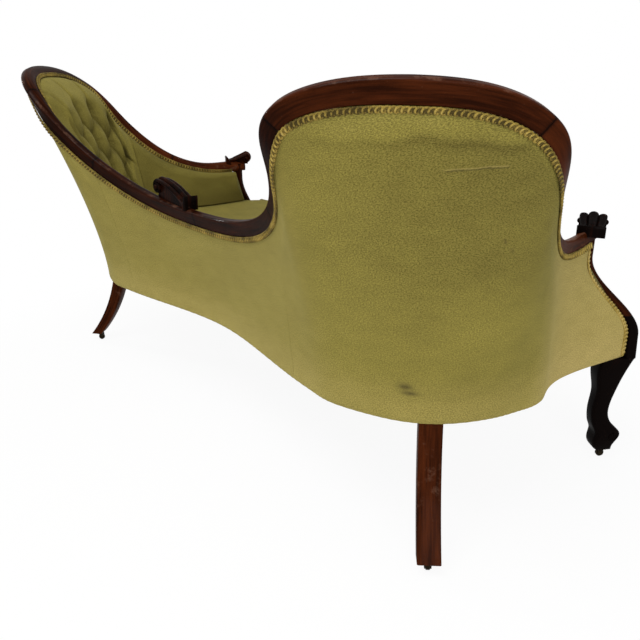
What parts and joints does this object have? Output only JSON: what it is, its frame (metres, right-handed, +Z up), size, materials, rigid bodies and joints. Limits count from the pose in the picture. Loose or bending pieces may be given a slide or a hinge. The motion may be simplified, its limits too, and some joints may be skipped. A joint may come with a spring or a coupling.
{
  "type": "spoon-back settee",
  "caption": "Show-wood settee with rounded deep-buttoned backs at both ends, a low dipped centre, upholstered seat and arms, cabriole front legs, sabre back legs and casters.",
  "frame": {"origin": "on the floor, under the middle of the settee's box", "axes": "+X along the length to the sitter's left, -Y to the front, +Z up"},
  "size_m": [1.8152, 0.9241, 0.93],
  "materials": {
    "mahogany": "polished dark mahogany",
    "beech": "sawn, unfinished",
    "velvet": "olive-green velvet",
    "gimp": "woven gold braid",
    "webbing": "twill jute",
    "hessian": "plain-weave jute",
    "spring_steel": "bare wire",
    "brass": "darkened brass"
  },
  "bodies": {
    "settee": {"back_buttons": "velvet", "back_uprights": "beech", "bottom_cover": "hessian", "caster_plates": "brass", "caster_screws": "brass", "centre_back_rail": "beech", "centre_outside_cover": "velvet", "centre_pad": "velvet", "centre_scroll": "mahogany", "corner_blocks": "beech", "cross_rail": "beech", "frame_dowels": "beech", "front_border": "velvet", "front_rail": "beech", "hessian": "hessian", "inside_gimp": "gimp", "left_arm_pad": "velvet", "left_arm_rail": "mahogany", "left_arm_scroll": "mahogany", "left_arm_support": "mahogany", "left_back_leg": "mahogany", "left_back_rail": "beech", "left_crest_rail": "mahogany", "left_front_leg": "mahogany", "left_inner_stile": "mahogany", "left_low_rail": "mahogany", "left_outer_stile": "mahogany", "left_outside_cover": "velvet", "left_side_rail": "beech", "left_spoon_pad": "velvet", "outside_gimp": "gimp", "right_arm_pad": "velvet", "right_arm_rail": "mahogany", "right_arm_scroll": "mahogany", "right_arm_support": "mahogany", "right_back_leg": "mahogany", "right_back_rail": "beech", "right_crest_rail": "mahogany", "right_front_leg": "mahogany", "right_inner_stile": "mahogany", "right_low_rail": "mahogany", "right_outer_stile": "mahogany", "right_outside_cover": "velvet", "right_side_rail": "beech", "right_spoon_pad": "velvet", "seat_pad": "velvet", "seat_springs": "spring_steel", "seat_webbing": "webbing"},
    "right_front_caster": {"right_front_caster_fork": "brass", "right_front_caster_axle": "brass"},
    "right_front_caster_wheel": {"right_front_caster_wheel": "brass"},
    "left_front_caster": {"left_front_caster_fork": "brass", "left_front_caster_axle": "brass"},
    "left_front_caster_wheel": {"left_front_caster_wheel": "brass"},
    "right_back_caster": {"right_back_caster_fork": "brass", "right_back_caster_axle": "brass"},
    "right_back_caster_wheel": {"right_back_caster_wheel": "brass"},
    "left_back_caster": {"left_back_caster_fork": "brass", "left_back_caster_axle": "brass"},
    "left_back_caster_wheel": {"left_back_caster_wheel": "brass"}
  },
  "joints": [
    {"name": "right_front_swivel", "type": "hinge", "parent": "settee", "child": "right_front_caster", "pos_m": [-0.78351, -0.41416, 0.027], "axis": [0, 0, 1], "continuous": true},
    {"name": "right_front_wheel_spin", "type": "hinge", "parent": "right_front_caster", "child": "right_front_caster_wheel", "pos_m": [-0.77898, -0.40756, 0.01], "axis": [0.8241, -0.5664, 0], "continuous": true},
    {"name": "left_front_swivel", "type": "hinge", "parent": "settee", "child": "left_front_caster", "pos_m": [0.78351, -0.41416, 0.027], "axis": [0, 0, 1], "continuous": true},
    {"name": "left_front_wheel_spin", "type": "hinge", "parent": "left_front_caster", "child": "left_front_caster_wheel", "pos_m": [0.77898, -0.40756, 0.01], "axis": [0.8241, 0.5664, 0], "continuous": true},
    {"name": "right_back_swivel", "type": "hinge", "parent": "settee", "child": "right_back_caster", "pos_m": [-0.79236, 0.25287, 0.027], "axis": [0, 0, 1], "continuous": true},
    {"name": "right_back_wheel_spin", "type": "hinge", "parent": "right_back_caster", "child": "right_back_caster_wheel", "pos_m": [-0.78649, 0.24743, 0.01], "axis": [-0.6793, -0.7339, 0], "continuous": true},
    {"name": "left_back_swivel", "type": "hinge", "parent": "settee", "child": "left_back_caster", "pos_m": [0.79236, 0.25287, 0.027], "axis": [0, 0, 1], "continuous": true},
    {"name": "left_back_wheel_spin", "type": "hinge", "parent": "left_back_caster", "child": "left_back_caster_wheel", "pos_m": [0.78649, 0.24743, 0.01], "axis": [-0.6793, 0.7339, 0], "continuous": true}
  ]
}
